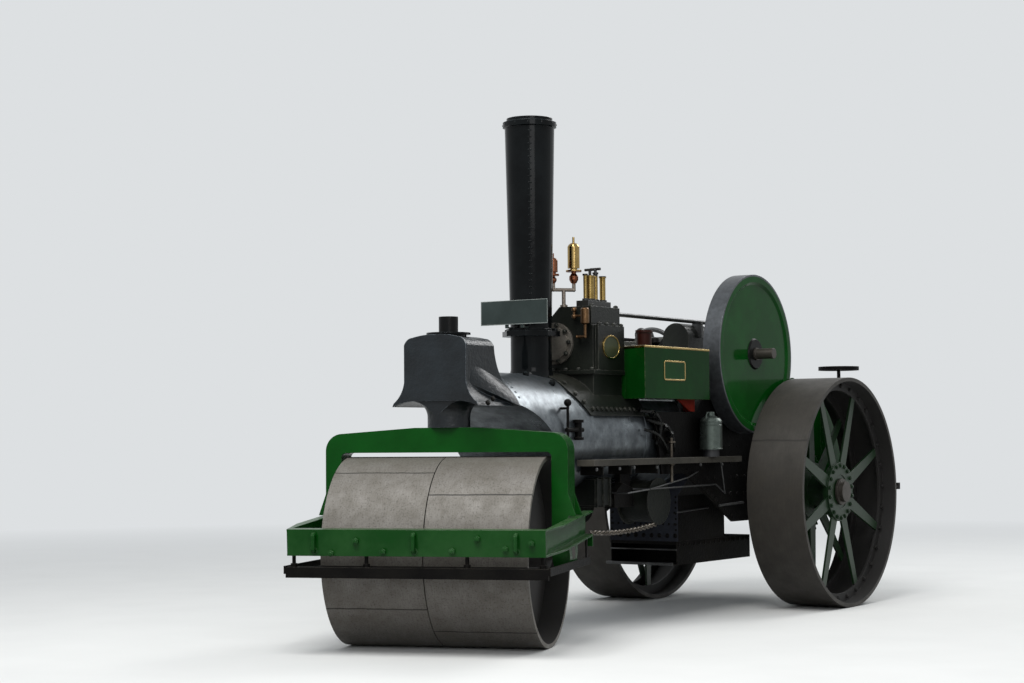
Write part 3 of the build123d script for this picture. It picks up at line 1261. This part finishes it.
def rear_roll(side):
    """One rear roll: tread, two rows of flat tapered spokes and a flanged hub."""
    width = REAR_ROLL_WIDTH
    inner = REAR_R - REAR_TREAD_PLATE
    bore = REAR_AXLE_R + RUNNING_FIT
    mid = width / 2
    # Half profile from the inner face (0) to the outer face: tread, rim rings, hub and its flanges
    shape = turned_x([(0, REAR_R), (width, REAR_R), (width, inner), (0, inner)], 0, 0)
    hub = [(16, bore), (16, HUB_R), (mid - SPOKE_ROW - 22, HUB_R), (mid - SPOKE_ROW - 22, HUB_FLANGE_R),
           (mid - SPOKE_ROW + 22, HUB_FLANGE_R), (mid - SPOKE_ROW + 22, HUB_R), (mid + SPOKE_ROW - 22, HUB_R),
           (mid + SPOKE_ROW - 22, HUB_FLANGE_R), (mid + SPOKE_ROW + 22, HUB_FLANGE_R),
           (mid + SPOKE_ROW + 22, HUB_R), (width - HUB_INSET, HUB_R), (width - HUB_INSET, bore)]
    shape += turned_x(hub, 0, 0)
    for row, x in ((0, mid - SPOKE_ROW), (1, mid + SPOKE_ROW)):
        shape += turned_x([(x - 9, inner + 5), (x + 9, inner + 5), (x + 9, inner - RIM_RING),
                           (x - 9, inner - RIM_RING)], 0, 0)
        outline = [(-SPOKE_ROOT, HUB_FLANGE_R - 60), (SPOKE_ROOT, HUB_FLANGE_R - 60), (SPOKE_TIP, inner - 30),
                   (-SPOKE_TIP, inner - 30)]
        for n in range(SPOKES):
            turn = 360 / SPOKES * (n + row / 2)
            shape += Rot(turn, 0, 0) * plate_x(outline, x - SPOKE_T / 2, x + SPOKE_T / 2)
    if side < 0:
        shape = Rot(0, 0, 180) * shape
    return Pos(side * REAR_INNER, WHEELBASE, REAR_R) * shape


def drive_ring():
    """The toothed ring on the left rear roll's inner side."""
    x1 = REAR_INNER - RING_ROLL_GAP
    x0 = x1 - RING_FACE
    root = RING_R - TOOTH_H
    shape = ring_x(x0, x1, WHEELBASE, REAR_R, root, root - RING_RIM)
    for n in range(RING_TEETH):
        tooth = Pos(0, WHEELBASE, REAR_R) * Rot(360 / RING_TEETH * n, 0, 0)
        outline = [(-12, root - 4), (12, root - 4), (6, RING_R), (-6, RING_R)]
        shape += tooth * plate_x(outline, x0, x1)
    for n in range(6):
        arm = Pos(0, WHEELBASE, REAR_R) * Rot(60 * n, 0, 0)
        shape += arm * block(x0 + 20, x0 + 44, -34, 34, HUB_R, root - 20)
    shape += bar_x(x0, REAR_INNER + 16, WHEELBASE, REAR_R, HUB_R + 25)
    return shape - bar_x(x0 - 1, REAR_INNER + 30, WHEELBASE, REAR_R, REAR_AXLE_R + RUNNING_FIT)


# All nodes

FIXED = {
    "smokebox": smokebox(),
    "head_casting": head_casting(),
    "head_plate": head_plate(),
    "head_cap": head_cap(),
    "boiler_barrel": boiler_barrel(),
    "firebox": firebox(),
    "ashpan": ashpan(),
    "fire_door": fire_door(),
    "fire_door_hinge": fire_door_hinge(),
    "side_valve": side_valve(),
    "chimney_base": chimney_base(),
    "chimney": chimney(),
    "number_plate": number_plate(),
    "cylinder_saddle": saddle(),
    "cylinder_block": cylinder_block(),
    "cylinder_cover": cylinder_cover(),
    "safety_valves": safety_valves(),
    "whistles": whistles(),
    "lubricator": lubricator(),
    "guide_bars": guides(),
    "connecting_rod": connecting_rod(),
    "valve_rods": valve_rods(),
    "control_rods": control_rods(),
    "crank_guard": crank_guard(),
    "gear_case": gear_case(),
    "crank_bearing": crank_bearing(),
    "crankshaft": crankshaft(),
    "flywheel": flywheel(),
    "motion_tray": motion_tray(),
    "hornplates": hornplates(),
    "running_boards": running_boards(),
    "belly_tank": belly_tank(),
    "feed_heater": feed_pump(),
    "chain_barrel": chain_barrel(),
    "steering_column": steering_column(),
    "rear_axle": rear_axle(),
    "tender": tender(),
    "footplate": footplate(),
    "brake_wheel": brake_wheel(),
    "reversing_lever": reversing_lever(),
    "drawbar": drawbar(),
    "rear_scrapers": rear_scrapers(),
    "oil_can": oil_can(),
    "rear_roll_left": rear_roll(1),
    "rear_roll_right": rear_roll(-1),
    "drive_ring": drive_ring(),
    "steering_chain_left": steering_chain(1),
    "steering_chain_right": steering_chain(-1),
}

STEERED = {
    "fork": fork(),
    "front_frame": front_frame(),
    "scraper_frame": scraper_frame(),
    "front_axle": front_axle(),
    "front_roll_left": front_roll(1),
    "front_roll_right": front_roll(-1),
}

nodes = dict(FIXED)
for name, shape in STEERED.items():
    nodes[name] = Rot(0, 0, STEER_ANGLE) * shape

# The origin goes under the middle of the machine's box
boxes = [shape.bounding_box() for shape in nodes.values()]
middle_x = (min(b.min.X for b in boxes) + max(b.max.X for b in boxes)) / 2
middle_y = (min(b.min.Y for b in boxes) + max(b.max.Y for b in boxes)) / 2
bottom = min(b.min.Z for b in boxes)

os.makedirs("parts", exist_ok=True)
for name, shape in nodes.items():
    moved = Pos(-middle_x, -middle_y, -bottom) * shape
    export_step(moved, f"parts/{name}.step")
print("origin from the kingpin's foot:", round(middle_x, 3), round(middle_y, 3), round(bottom, 3))
